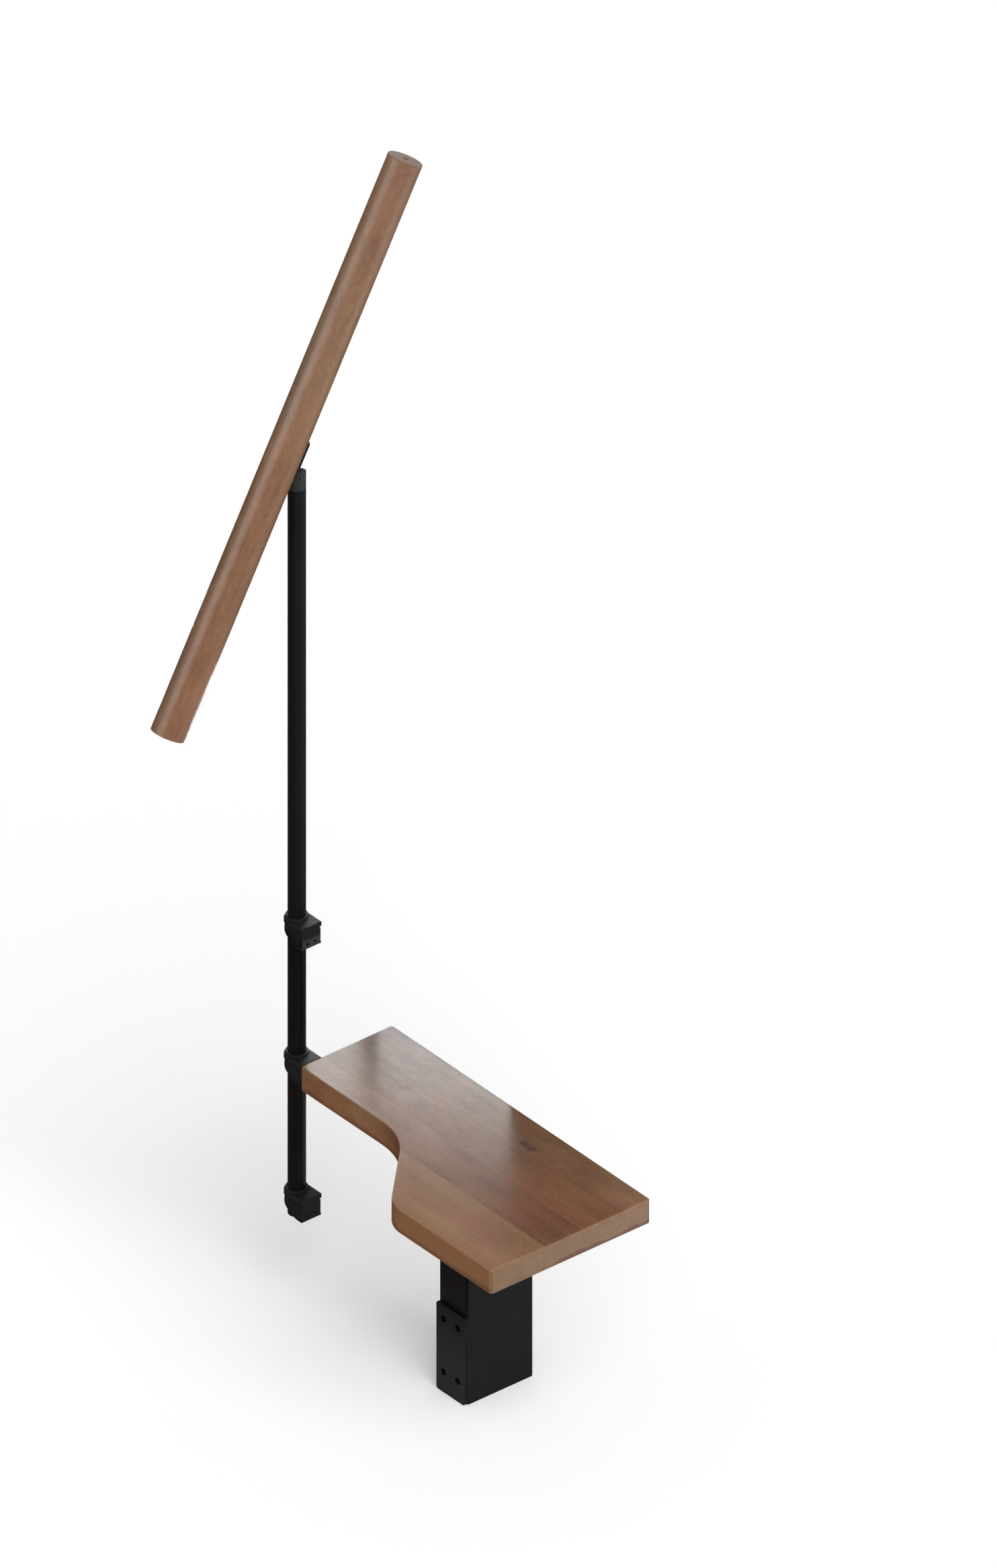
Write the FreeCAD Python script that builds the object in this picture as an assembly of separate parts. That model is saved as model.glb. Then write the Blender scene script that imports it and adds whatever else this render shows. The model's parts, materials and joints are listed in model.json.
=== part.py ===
"""One module of a steep modular stair: a paddle tread on a steel column, with its baluster and rail length.

Frame: X runs along the tread to the climber's right, Y is the climbing direction and Z is up.
The origin is the centre of the four bolt holes on the front face of the coupling plate,
where this module is bolted to the column of the module below. Millimetres throughout.
"""
import FreeCAD, Part
import math
import os

Vector = FreeCAD.Vector

# Stair geometry
riser = 218.4
going = 119.4
pitch = math.degrees(math.atan2(riser, going))

# Tread
tread_length = 546.3
tread_thickness = 38.0
narrow_depth = 159.2
wide_depth = 276.8
narrow_run = 215.8
diagonal_angle = 45.0
inner_curve_radius = 104.0
outer_curve_radius = 50.0
tread_corner_radius = 5.0
tread_edge_radius = 2.0
tread_top = 331.0

# Column, a rectangular hollow section standing under the middle of the tread
column_width = 60.0
column_depth = 115.0
column_wall = 2.5
column_corner_radius = 4.0
column_bottom = -75.0
tread_overhang_rear = 3.4

# Top flange under the tread
flange_width = 164.0
flange_depth = 132.0
flange_thickness = 5.0
flange_corner_radius = 12.0
flange_screw_inset = 18.0
flange_screw_rows = 3

# Coupling to the modules below and above
coupling_top = 65.0
coupling_corner_radius = 4.0
bolt_spacing_x = 30.0
bolt_spacing_z = 85.0
bolt_hole_radius = 5.25
slot_length = 30.0
access_hole_radius = 11.0

# Baluster
tube_radius = 12.5
tube_wall = 2.0
tube_from_end = 30.7
tube_from_narrow_front = 19.4
tube_top_above_tread = 908.0
tube_below_lower_clamp = 36.6
plug_flange = 3.0
plug_length = 15.0

# Clamps that hold the baluster to the ends of three treads
cover_radius = 17.6
cover_thickness = 7.4
cover_edge_radius = 1.2
collar_radius = 15.9
collar_height = 3.4
groove_height = 2.2
groove_depth = 1.2
corbel_radius = 16.8
corbel_depth = 34.3
corbel_tip_depth = 15.5
corbel_slope = 31.0
corbel_curve_radius = 31.0
side_recess = 0.8
rim_width = 2.8
grub_depth = 12.4
grub_lean = 14.0
grub_radius = 2.4
grub_socket_radius = 1.3
grub_socket_depth = 1.6

# Cap on the baluster, a clevis that carries the rail
cap_spigot_length = 26.0
pivot_above_seam = 20.0
ear_radius = 11.9
tongue_width = 10.0
tongue_radius = 8.0
tongue_side_gap = 0.3
tongue_floor_gap = 0.5

# Pivot screw and nut
pivot_radius = 2.5
pivot_running_gap = 0.05
pivot_head_radius = 4.0
pivot_head_height = 2.2
pivot_socket_radius = 1.7
pivot_socket_depth = 1.3
pivot_seat_depth = 1.0
nut_across_flats = 8.0
nut_height = 2.8
nut_pocket_wall = 2.0

# Rail and its bracket
rail_radius = 25.0
rail_lower_reach = 393.0
rail_upper_reach = 466.0
rail_edge_radius = 0.8
rail_bore_radius = 4.0
rail_bore_depth = 40.0
bracket_width = 25.0
bracket_thickness = 3.0
bracket_lower_reach = 12.0
bracket_upper_reach = 52.0
bracket_corner_radius = 5.0
bracket_screw_first = 18.0
bracket_screw_spacing = 22.0

# Wood screws, each as shank radius, length under the head, head radius and head height
tread_screw = {"shank": 3.0, "length": 32.0, "head": 6.0, "height": 3.4}
end_screw = {"shank": 2.0, "length": 38.0, "head": 3.6, "height": 2.0}
rail_screw = {"shank": 2.0, "length": 22.0, "head": 3.8, "height": 2.2}
end_screw_spacing = 13.0
end_screw_depth = 27.5
end_screw_set_back = 0.2

# Clearances
seat_gap = 0.1
screw_gap = 0.05

# Places worked out from the sizes above
coupling_thickness = going - column_depth
column_rear = going
column_front = going - column_depth
column_top = tread_top - tread_thickness - flange_thickness
tread_left = -tread_length / 2
tread_rear = column_rear + tread_overhang_rear
tread_narrow_front = tread_rear - narrow_depth
tread_wide_front = tread_rear - wide_depth
tube_x = tread_left - tube_from_end
tube_y = tread_narrow_front + tube_from_narrow_front
tube_top = tread_top + tube_top_above_tread
tube_bottom = tread_top - riser - tube_below_lower_clamp
bore_radius = tube_radius + seat_gap
pivot = Vector(tube_x, tube_y, tube_top + pivot_above_seam)
bracket_seat = ear_radius + tongue_side_gap
rail_offset = bracket_seat + bracket_thickness + rail_radius
along_rail = Vector(0, math.cos(math.radians(pitch)), math.sin(math.radians(pitch)))
off_rail = Vector(0, -math.sin(math.radians(pitch)), math.cos(math.radians(pitch)))
axis_x = Vector(1, 0, 0)
axis_y = Vector(0, 1, 0)
axis_z = Vector(0, 0, 1)


def cylinder(radius, length, base, direction):
    """Solid cylinder from a base point along a direction."""
    return Part.makeCylinder(radius, length, base, direction)


def cone(radius_base, radius_end, length, base, direction):
    """Solid cone from a base point along a direction."""
    return Part.makeCone(radius_base, radius_end, length, base, direction)


def block(low, high):
    """Solid box between two opposite corners."""
    size = high - low
    return Part.makeBox(size.x, size.y, size.z, low)


def hexagon(across_flats, length, base, direction, first_corner):
    """Solid hexagonal prism whose first corner lies the way given."""
    reach = across_flats / math.sqrt(3)
    corners = []
    for step in range(7):
        turn = FreeCAD.Rotation(direction, 60 * step)
        corners.append(base + turn.multVec(first_corner) * reach)
    face = Part.Face(Part.makePolygon(corners))
    return face.extrude(direction * length)


def rounded_wire(corners, place):
    """Closed wire through (u, v, radius) corners, each rounded by its radius; place maps u, v to a point."""
    edges = []
    ends = []
    count = len(corners)
    for index in range(count):
        here = Vector(corners[index][0], corners[index][1], 0)
        before = Vector(corners[index - 1][0], corners[index - 1][1], 0)
        after = Vector(corners[(index + 1) % count][0], corners[(index + 1) % count][1], 0)
        radius = corners[index][2]
        way_back = (before - here).normalize()
        way_on = (after - here).normalize()
        half_angle = way_back.getAngle(way_on) / 2
        reach = radius / math.tan(half_angle)
        middle_way = (way_back + way_on).normalize()
        middle = here + middle_way * (radius / math.sin(half_angle) - radius)
        ends.append((here + way_back * reach, middle, here + way_on * reach, radius))
    for index in range(count):
        start, middle, finish, radius = ends[index]
        next_start = ends[(index + 1) % count][0]
        if radius > 0:
            edges.append(Part.Arc(place(start), place(middle), place(finish)).toShape())
        if (next_start - finish).Length > 1e-6:
            edges.append(Part.LineSegment(place(finish), place(next_start)).toShape())
    return Part.Wire(edges)


def flat_plate(corners, low, height):
    """Upright prism of a rounded outline in the XY plane."""
    wire = rounded_wire(corners, lambda p: Vector(p.x, p.y, low))
    return Part.Face(wire).extrude(Vector(0, 0, height))


def rectangle(x_low, y_low, x_high, y_high, radius):
    """Corners of a rounded rectangle for rounded_wire."""
    return [
        (x_low, y_low, radius),
        (x_high, y_low, radius),
        (x_high, y_high, radius),
        (x_low, y_high, radius),
    ]


def slot_along_z(x, z, radius, length, y_low, y_high):
    """Cutter for an upright slot through a wall that faces Y."""
    half = length / 2
    corners = rectangle(x - radius, z - half, x + radius, z + half, radius)
    wire = rounded_wire(corners, lambda p: Vector(p.x, y_low, p.y))
    return Part.Face(wire).extrude(Vector(0, y_high - y_low, 0))


def countersunk_screw(sizes, head_top, direction):
    """Wood screw with a countersunk head whose flat top is at head_top."""
    head = cone(sizes["head"], sizes["shank"], sizes["height"], head_top, direction)
    tip_length = 2 * sizes["shank"]
    straight = sizes["length"] - tip_length
    shank = cylinder(sizes["shank"], straight, head_top, direction)
    tip_base = head_top + direction * straight
    tip = cone(sizes["shank"], sizes["shank"] * 0.2, tip_length, tip_base, direction)
    return head.fuse([shank, tip]).removeSplitter()


def screw_cutter(sizes, head_top, direction, open_reach):
    """Clearance for a countersunk screw, open behind its head by open_reach."""
    head = sizes["head"] + screw_gap
    shank = sizes["shank"] + screw_gap
    well = cylinder(head, open_reach, head_top - direction * open_reach, direction)
    seat = cone(head, shank, sizes["height"], head_top, direction)
    hole = cylinder(shank, sizes["length"] + screw_gap, head_top, direction)
    return well.fuse([seat, hole])


def bolt_places():
    """X and Z of the four coupling bolts about the origin."""
    places = []
    for side in (-1, 1):
        for level in (-1, 1):
            places.append((side * bolt_spacing_x / 2, level * bolt_spacing_z / 2))
    return places


def tread_screw_places():
    """Points on the underside of the flange where the tread's screws go up."""
    rear_row = column_rear - flange_screw_inset
    front_row = column_rear - flange_depth + flange_screw_inset
    spacing = (rear_row - front_row) / (flange_screw_rows - 1)
    places = []
    for side in (-1, 1):
        for row in range(flange_screw_rows):
            x = side * (flange_width / 2 - flange_screw_inset)
            places.append(Vector(x, front_row + row * spacing, column_top))
    return places


def end_screw_places(level):
    """Head-top points of the two screws that hold a clamp to the end of a tread."""
    head_x = tube_x + bore_radius + end_screw_set_back
    places = []
    for side in (-1, 1):
        y = tube_y + side * end_screw_spacing / 2
        places.append(Vector(head_x, y, level - end_screw_depth))
    return places


def rail_screw_places():
    """Head-top points of the screws that go up through the bracket into the rail."""
    places = []
    for number in range(2):
        reach = bracket_screw_first + number * bracket_screw_spacing
        places.append(pivot + along_rail * reach + off_rail * bracket_seat)
    return places


def make_tread():
    """Laminated wooden tread, narrow at the left and full depth at the right, with an S-shaped front edge."""
    diagonal_run = (wide_depth - narrow_depth) / math.tan(math.radians(diagonal_angle))
    corners = [
        (tread_left, tread_rear, tread_corner_radius),
        (tread_left, tread_narrow_front, tread_corner_radius),
        (tread_left + narrow_run, tread_narrow_front, inner_curve_radius),
        (tread_left + narrow_run + diagonal_run, tread_wide_front, outer_curve_radius),
        (-tread_left, tread_wide_front, tread_corner_radius),
        (-tread_left, tread_rear, tread_corner_radius),
    ]
    tread = flat_plate(corners, tread_top - tread_thickness, tread_thickness)
    level_edges = [e for e in tread.Edges if abs(e.BoundBox.ZMax - e.BoundBox.ZMin) < 1e-6]
    tread = tread.makeFillet(tread_edge_radius, level_edges)
    cutters = []
    for place in tread_screw_places():
        depth = tread_screw["length"] + screw_gap
        cutters.append(cylinder(tread_screw["shank"] + screw_gap, depth, place, axis_z))
    for place in end_screw_places(tread_top):
        cutters.append(cylinder(end_screw["shank"] + screw_gap, end_screw["length"] + screw_gap, place, axis_x))
    return tread.cut(cutters)


def make_tread_screws():
    """Hexagon-headed coach screws that go up through the flange into the tread."""
    screws = []
    for place in tread_screw_places():
        head_low = place - axis_z * tread_screw["height"]
        head = hexagon(tread_screw["head"] * math.sqrt(3), tread_screw["height"], head_low, axis_z, axis_x)
        shank = cylinder(tread_screw["shank"], tread_screw["length"], place, axis_z)
        screws.append(head.fuse(shank))
    return Part.makeCompound(screws)


def make_column():
    """Steel hollow section, open at the bottom, with bolt holes in front and slots and access holes behind."""
    half = column_width / 2
    height = column_top - column_bottom
    inner_radius = column_corner_radius - column_wall
    outer = flat_plate(rectangle(-half, column_front, half, column_rear, column_corner_radius), column_bottom, height)
    inner_corners = rectangle(
        -half + column_wall, column_front + column_wall, half - column_wall, column_rear - column_wall, inner_radius
    )
    column = outer.cut(flat_plate(inner_corners, column_bottom, height))
    cutters = []
    for x, z in bolt_places():
        cutters.append(cylinder(bolt_hole_radius, 2 * column_wall, Vector(x, column_front - column_wall / 2, z), axis_y))
        rear_low = column_rear - 1.5 * column_wall
        rear_high = column_rear + column_wall
        cutters.append(cylinder(access_hole_radius, rear_high - rear_low, Vector(x, rear_low, z), axis_y))
        cutters.append(slot_along_z(x, z + riser, bolt_hole_radius, slot_length, rear_low, rear_high))
    return column.cut(cutters)


def make_top_flange():
    """Steel plate welded to the top of the column, with a screw hole for each coach screw."""
    half = flange_width / 2
    corners = rectangle(-half, column_rear - flange_depth, half, column_rear, flange_corner_radius)
    flange = flat_plate(corners, column_top, flange_thickness)
    holes = []
    for place in tread_screw_places():
        holes.append(cylinder(tread_screw["shank"] + screw_gap, 2 * flange_thickness, place, axis_z))
    return flange.cut(holes)


def make_coupling_plate():
    """Steel plate welded to the lower front of the column, which bears on the column below."""
    half = column_width / 2
    corners = rectangle(-half, column_bottom, half, coupling_top, coupling_corner_radius)
    wire = rounded_wire(corners, lambda p: Vector(p.x, 0, p.y))
    plate = Part.Face(wire).extrude(Vector(0, coupling_thickness, 0))
    holes = []
    for x, z in bolt_places():
        holes.append(cylinder(bolt_hole_radius, 3 * coupling_thickness, Vector(x, -coupling_thickness, z), axis_y))
    return plate.cut(holes)


def make_baluster_tube():
    """Round steel tube from below the lower clamp to the cap."""
    length = tube_top - tube_bottom
    outer = cylinder(tube_radius, length, Vector(tube_x, tube_y, tube_bottom), axis_z)
    inner = cylinder(tube_radius - tube_wall, length, Vector(tube_x, tube_y, tube_bottom), axis_z)
    return outer.cut(inner)


def make_foot_plug():
    """Plastic plug that closes the foot of the tube."""
    disc = cylinder(tube_radius, plug_flange, Vector(tube_x, tube_y, tube_bottom - plug_flange), axis_z)
    rim = [e for e in disc.Edges if abs(e.BoundBox.ZMax - (tube_bottom - plug_flange)) < 1e-6]
    disc = disc.makeFillet(plug_flange / 3, rim)
    stem_radius = tube_radius - tube_wall - seat_gap
    stem = cylinder(stem_radius, plug_length, Vector(tube_x, tube_y, tube_bottom), axis_z)
    return disc.fuse(stem)


def clamp_plan(radius, low, height):
    """Upright D-shaped prism: flat against the end of the tread and round about the tube."""
    tangent_point = Vector(tube_x, tube_y - radius, low)
    far_tangent = Vector(tube_x, tube_y + radius, low)
    tip = Vector(tube_x - radius, tube_y, low)
    edges = [
        Part.Arc(tangent_point, tip, far_tangent).toShape(),
        Part.LineSegment(far_tangent, Vector(tread_left, tube_y + radius, low)).toShape(),
        Part.LineSegment(
            Vector(tread_left, tube_y + radius, low), Vector(tread_left, tube_y - radius, low)
        ).toShape(),
        Part.LineSegment(Vector(tread_left, tube_y - radius, low), tangent_point).toShape(),
    ]
    return Part.Face(Part.Wire(edges)).extrude(Vector(0, 0, height))


def corbel_side(level, drop):
    """Prism across Y with the corbel's side profile: level on top, curved below, its underside raised by drop."""
    tip_x = tube_x - corbel_radius
    slope = math.tan(math.radians(corbel_slope))
    knee_x = tip_x + (corbel_depth - corbel_tip_depth) / slope
    past_tip = cover_radius
    corners = [
        (tread_left, level - corbel_depth + drop, 0),
        (knee_x, level - corbel_depth + drop, corbel_curve_radius),
        (tip_x - past_tip, level - corbel_tip_depth + drop + past_tip * slope, 0),
        (tip_x - past_tip, level + past_tip, 0),
        (tread_left, level + past_tip, 0),
    ]
    wide = 2 * cover_radius
    wire = rounded_wire(corners, lambda p: Vector(p.x, tube_y - wide, p.y))
    return Part.Face(wire).extrude(Vector(0, 2 * wide, 0))


def grub_direction():
    """Way from the outside of a clamp towards the tube's axis along its grub screw."""
    lean = math.radians(grub_lean)
    return Vector(-math.sin(lean), math.cos(lean), 0)


def make_clamp_body(level):
    """Moulded corbel that carries the tube, with a raised rim along its curved underside."""
    shoulder = level - cover_thickness - groove_height
    height = corbel_depth
    plan = clamp_plan(corbel_radius, shoulder - height, height)
    side = corbel_side(level, 0)
    body = plan.common(side)
    recess = plan.cut(clamp_plan(corbel_radius - side_recess, shoulder - height, height))
    body = body.cut(recess.common(corbel_side(level, rim_width)))
    neck = clamp_plan(corbel_radius - side_recess - groove_depth, shoulder - groove_height, 2 * groove_height)
    body = body.fuse(neck)
    cutters = [cylinder(bore_radius, 2 * height, Vector(tube_x, tube_y, level - 2 * height), axis_z)]
    for place in end_screw_places(level):
        cutters.append(screw_cutter(end_screw, place, axis_x, bore_radius))
    inward = grub_direction()
    axis_point = Vector(tube_x, tube_y, level - grub_depth)
    cutters.append(cylinder(grub_radius + screw_gap, 2 * tube_radius, axis_point - inward * 2 * tube_radius, inward))
    return body.cut(cutters).removeSplitter()


def make_clamp_cover(level):
    """Moulded cover flush with the top of the tread, with a collar round the tube."""
    cover = clamp_plan(cover_radius, level - cover_thickness, cover_thickness)
    top_edges = []
    for edge in cover.Edges:
        on_top = abs(edge.BoundBox.ZMin - level) < 1e-6
        at_tread = abs(edge.BoundBox.XMin - tread_left) < 1e-6
        if on_top and not at_tread:
            top_edges.append(edge)
    cover = cover.makeFillet(cover_edge_radius, top_edges)
    collar = cylinder(collar_radius, collar_height, Vector(tube_x, tube_y, level), axis_z)
    crown = [e for e in collar.Edges if abs(e.BoundBox.ZMin - level - collar_height) < 1e-6]
    collar = collar.makeFillet(cover_edge_radius, crown)
    bore = cylinder(bore_radius, 4 * cover_thickness, Vector(tube_x, tube_y, level - 2 * cover_thickness), axis_z)
    return cover.fuse(collar).cut(bore)


def make_grub_screw(level):
    """Socket grub screw that locks the tube in a clamp."""
    inward = grub_direction()
    outer_reach = (corbel_radius - side_recess) / math.cos(math.radians(grub_lean)) - grub_radius / 4
    start = Vector(tube_x, tube_y, level - grub_depth) - inward * outer_reach
    screw = cylinder(grub_radius, outer_reach - tube_radius - screw_gap, start, inward)
    socket = hexagon(grub_socket_radius * math.sqrt(3), grub_socket_depth, start, inward, axis_z)
    return screw.cut(socket)


def make_end_screws():
    """Two countersunk wood screws that hold the middle clamp to the end of the tread."""
    screws = [countersunk_screw(end_screw, place, axis_x) for place in end_screw_places(tread_top)]
    return Part.makeCompound(screws)


def make_cap():
    """Clevis that plugs into the top of the tube, its two ears rounded about the pivot."""
    slot_half = tongue_width / 2 + tongue_side_gap
    seam = Vector(tube_x, tube_y, tube_top)
    body = cylinder(tube_radius, pivot_above_seam + ear_radius, seam, axis_z)
    round_top = cylinder(ear_radius, 2 * tube_radius, pivot - axis_x * tube_radius, axis_x)
    lower_half = block(
        Vector(tube_x - tube_radius, tube_y - tube_radius, tube_top),
        Vector(tube_x + tube_radius, tube_y + tube_radius, pivot.z),
    )
    body = body.common(round_top.fuse(lower_half))
    spigot_radius = tube_radius - tube_wall - seat_gap
    spigot = cylinder(spigot_radius, cap_spigot_length, seam - axis_z * cap_spigot_length, axis_z)
    body = body.fuse(spigot).removeSplitter()
    slot_floor = pivot.z - tongue_radius - tongue_floor_gap
    slot = block(
        Vector(tube_x - slot_half, tube_y - 2 * tube_radius, slot_floor),
        Vector(tube_x + slot_half, tube_y + 2 * tube_radius, pivot.z + 2 * ear_radius),
    )
    through = cylinder(pivot_radius + pivot_running_gap, 4 * tube_radius, pivot - axis_x * 2 * tube_radius, axis_x)
    head_seat = pivot + axis_x * (tube_radius - pivot_seat_depth)
    head_well = cylinder(pivot_head_radius + seat_gap, tube_radius, head_seat, axis_x)
    nut_floor = pivot - axis_x * (slot_half + nut_pocket_wall)
    nut_well = hexagon(nut_across_flats + 2 * seat_gap, tube_radius, nut_floor, -axis_x, axis_z)
    return body.cut([slot, through, head_well, nut_well])


def make_pivot_screw():
    """Button-headed screw through the ears and the tongue."""
    head_seat = pivot + axis_x * (tube_radius - pivot_seat_depth)
    nut_outside = tongue_width / 2 + tongue_side_gap + nut_pocket_wall + nut_height
    shank_length = tube_radius - pivot_seat_depth + nut_outside
    shank = cylinder(pivot_radius, shank_length, head_seat, -axis_x)
    head = cylinder(pivot_head_radius, pivot_head_height, head_seat, axis_x)
    crown_x = head_seat.x + pivot_head_height
    crown = [e for e in head.Edges if abs(e.BoundBox.XMin - crown_x) < 1e-6]
    head = head.makeFillet(pivot_head_height / 2, crown)
    socket_base = head_seat + axis_x * (pivot_head_height - pivot_socket_depth)
    socket = hexagon(pivot_socket_radius * math.sqrt(3), 2 * pivot_socket_depth, socket_base, axis_x, axis_z)
    return head.fuse(shank).cut(socket)


def make_pivot_nut():
    """Thin hexagon nut in the pocket of the left ear."""
    nut_floor = pivot - axis_x * (tongue_width / 2 + tongue_side_gap + nut_pocket_wall)
    nut = hexagon(nut_across_flats, nut_height, nut_floor, -axis_x, axis_z)
    hole = cylinder(pivot_radius + screw_gap, 2 * nut_height, nut_floor + axis_x * nut_height / 2, -axis_x)
    return nut.cut(hole)


def on_rail_frame(u, v, x):
    """Point given by its reach along the rail, its height off the pivot square to the rail, and X from the tube."""
    return pivot + along_rail * u + off_rail * v + axis_x * x


def make_rail_bracket():
    """Saddle plate under the rail with a rounded tongue that turns in the clevis."""
    half = bracket_width / 2
    saddle_rise = rail_radius - math.sqrt(rail_radius ** 2 - half ** 2)
    corners = [
        (-bracket_lower_reach, -half, bracket_corner_radius),
        (bracket_upper_reach, -half, bracket_corner_radius),
        (bracket_upper_reach, half, bracket_corner_radius),
        (-bracket_lower_reach, half, bracket_corner_radius),
    ]
    wire = rounded_wire(corners, lambda p: on_rail_frame(p.x, bracket_seat, p.y))
    plate = Part.Face(wire).extrude(off_rail * (bracket_thickness + saddle_rise))
    rail_line = on_rail_frame(-2 * bracket_upper_reach, rail_offset, 0)
    plate = plate.cut(cylinder(rail_radius + seat_gap, 4 * bracket_upper_reach, rail_line, along_rail))
    tongue_corners = [
        (-tongue_radius, bracket_seat + bracket_thickness / 2, 0),
        (-tongue_radius, -tongue_radius, tongue_radius),
        (tongue_radius, -tongue_radius, tongue_radius),
        (tongue_radius, bracket_seat + bracket_thickness / 2, 0),
    ]
    tongue_wire = rounded_wire(tongue_corners, lambda p: on_rail_frame(p.x, p.y, -tongue_width / 2))
    tongue = Part.Face(tongue_wire).extrude(axis_x * tongue_width)
    bracket = plate.fuse(tongue)
    cutters = [
        cylinder(pivot_radius + pivot_running_gap, 2 * tongue_width, pivot - axis_x * tongue_width, axis_x)
    ]
    for place in rail_screw_places():
        cutters.append(screw_cutter(rail_screw, place, off_rail, bracket_thickness))
    return bracket.cut(cutters).removeSplitter()


def make_rail_screws():
    """Two countersunk wood screws that hold the bracket to the rail."""
    screws = [countersunk_screw(rail_screw, place, off_rail) for place in rail_screw_places()]
    return Part.makeCompound(screws)


def make_handrail():
    """Round wooden rail length, square at its ends, with a bore in each end for a joining stud."""
    length = rail_lower_reach + rail_upper_reach
    lower_end = on_rail_frame(-rail_lower_reach, rail_offset, 0)
    upper_end = on_rail_frame(rail_upper_reach, rail_offset, 0)
    rail = cylinder(rail_radius, length, lower_end, along_rail)
    rims = [e for e in rail.Edges if e.Curve.TypeId == "Part::GeomCircle"]
    rail = rail.makeFillet(rail_edge_radius, rims)
    cutters = [
        cylinder(rail_bore_radius, rail_bore_depth, lower_end, along_rail),
        cylinder(rail_bore_radius, rail_bore_depth, upper_end, -along_rail),
    ]
    for place in rail_screw_places():
        cutters.append(cylinder(rail_screw["shank"] + screw_gap, rail_screw["length"] + screw_gap, place, off_rail))
    return rail.cut(cutters)


def make_all():
    """Every node of the module by name."""
    nodes = {
        "tread": make_tread(),
        "tread_screws": make_tread_screws(),
        "column": make_column(),
        "top_flange": make_top_flange(),
        "coupling_plate": make_coupling_plate(),
        "baluster_tube": make_baluster_tube(),
        "baluster_foot_plug": make_foot_plug(),
        "tread_end_screws": make_end_screws(),
        "baluster_cap": make_cap(),
        "pivot_screw": make_pivot_screw(),
        "pivot_nut": make_pivot_nut(),
        "rail_bracket": make_rail_bracket(),
        "rail_screws": make_rail_screws(),
        "handrail": make_handrail(),
    }
    for name, step in (("lower", -1), ("middle", 0), ("upper", 1)):
        level = tread_top + step * riser
        nodes[name + "_clamp_body"] = make_clamp_body(level)
        nodes[name + "_clamp_cover"] = make_clamp_cover(level)
        nodes[name + "_grub_screw"] = make_grub_screw(level)
    return nodes


os.makedirs("parts", exist_ok=True)
for node, shape in make_all().items():
    shape.exportStep(os.path.join("parts", node + ".step"))
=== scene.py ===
"""Looks of one module of a steep modular stair: paddle tread, column, baluster and rail length.

X runs along the tread to the climber's right, Y is the climbing direction and Z is up. Metres throughout.
"""
import bpy
import bmesh
import json
import math
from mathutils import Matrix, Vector


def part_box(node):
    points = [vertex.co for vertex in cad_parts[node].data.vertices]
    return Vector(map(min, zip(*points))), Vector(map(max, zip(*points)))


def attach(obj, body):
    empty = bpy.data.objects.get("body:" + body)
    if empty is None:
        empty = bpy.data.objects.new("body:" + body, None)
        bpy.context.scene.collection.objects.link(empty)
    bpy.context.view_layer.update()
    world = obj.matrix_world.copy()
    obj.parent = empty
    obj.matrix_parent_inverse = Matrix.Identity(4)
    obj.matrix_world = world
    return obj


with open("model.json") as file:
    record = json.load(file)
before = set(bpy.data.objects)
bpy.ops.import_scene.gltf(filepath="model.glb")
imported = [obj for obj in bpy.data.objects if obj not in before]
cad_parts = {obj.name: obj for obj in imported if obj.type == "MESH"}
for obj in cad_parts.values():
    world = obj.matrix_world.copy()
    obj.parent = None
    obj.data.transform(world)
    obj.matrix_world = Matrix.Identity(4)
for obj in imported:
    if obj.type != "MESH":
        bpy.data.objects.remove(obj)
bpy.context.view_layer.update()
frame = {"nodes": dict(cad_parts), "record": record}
nodes = frame["nodes"]
slot_of = {part["node"]: part["material_slot"] for part in frame["record"]["subparts"]}

# View of the photograph: parallel, with the tread's rear left top corner at the anchor pixel
photo_width = 1484
photo_height = 2334
metres_per_pixel = 0.0009
view_azimuth = math.radians(50.62)
view_elevation = math.radians(33.52)
anchor_pixel = (583.5, 1525.8)
camera_distance = 6.0

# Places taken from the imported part
tread_low, tread_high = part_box("tread")
column_low, column_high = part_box("column")
plate_low, plate_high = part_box("coupling_plate")

# What the frame doesn't state: the radius of the column's corners and the direction of the rail at rest
column_corner_radius = 0.004
rail_axis = Vector((0, 0.479819, 0.877367))

# Range that holds most of a noise's values
usual_noise = (0.3, 0.7)

# Patterns of the wood: noise scales along and across the grain, detail and roughness
wood_patterns = {
    "clouds": (12.0, 32.0, 4.0, 0.55),
    "drift": (7.0, 13.0, 2.0, 0.5),
    "curl": (110.0, 190.0, 4.0, 0.5),
    "streaks": (3.0, 90.0, 3.0, 0.6),
    "fibres": (60.0, 1100.0, 2.0, 0.5),
    "flecks": (140.0, 1500.0, 0.0, 0.5),
}

# Colours of the wood at tones 0 and 1, how far four patterns move the tone, and the drift to a redder tint
dark_wood = (0.070, 0.027, 0.010)
pale_wood = (0.245, 0.122, 0.054)
tone_swings = {"clouds": 0.15, "curl": 0.10, "streaks": 0.06, "fibres": 0.05}
drift_range = (0.38, 0.66)
drift_tint = (1.04, 0.88, 0.94)

# Lacquer: share of full specular strength, roughness on the tread and on the rail, and depth of the grain
lacquer_specular = 0.20
tread_roughness = 0.30
rail_roughness = 0.37
grain_depth = 0.00004

# The rail: its tone, its smaller drift, its tint, and a painted sheen that grows in between two heights and
# stays above them
rail_tone = 0.56
rail_drift = (0.25, 0.75)
rail_tint = (0.95, 1.03, 1.17)
rail_sheen_heights = (1.15, 1.60)
rail_sheen_tint = (1.10, 1.23, 1.38)

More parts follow.
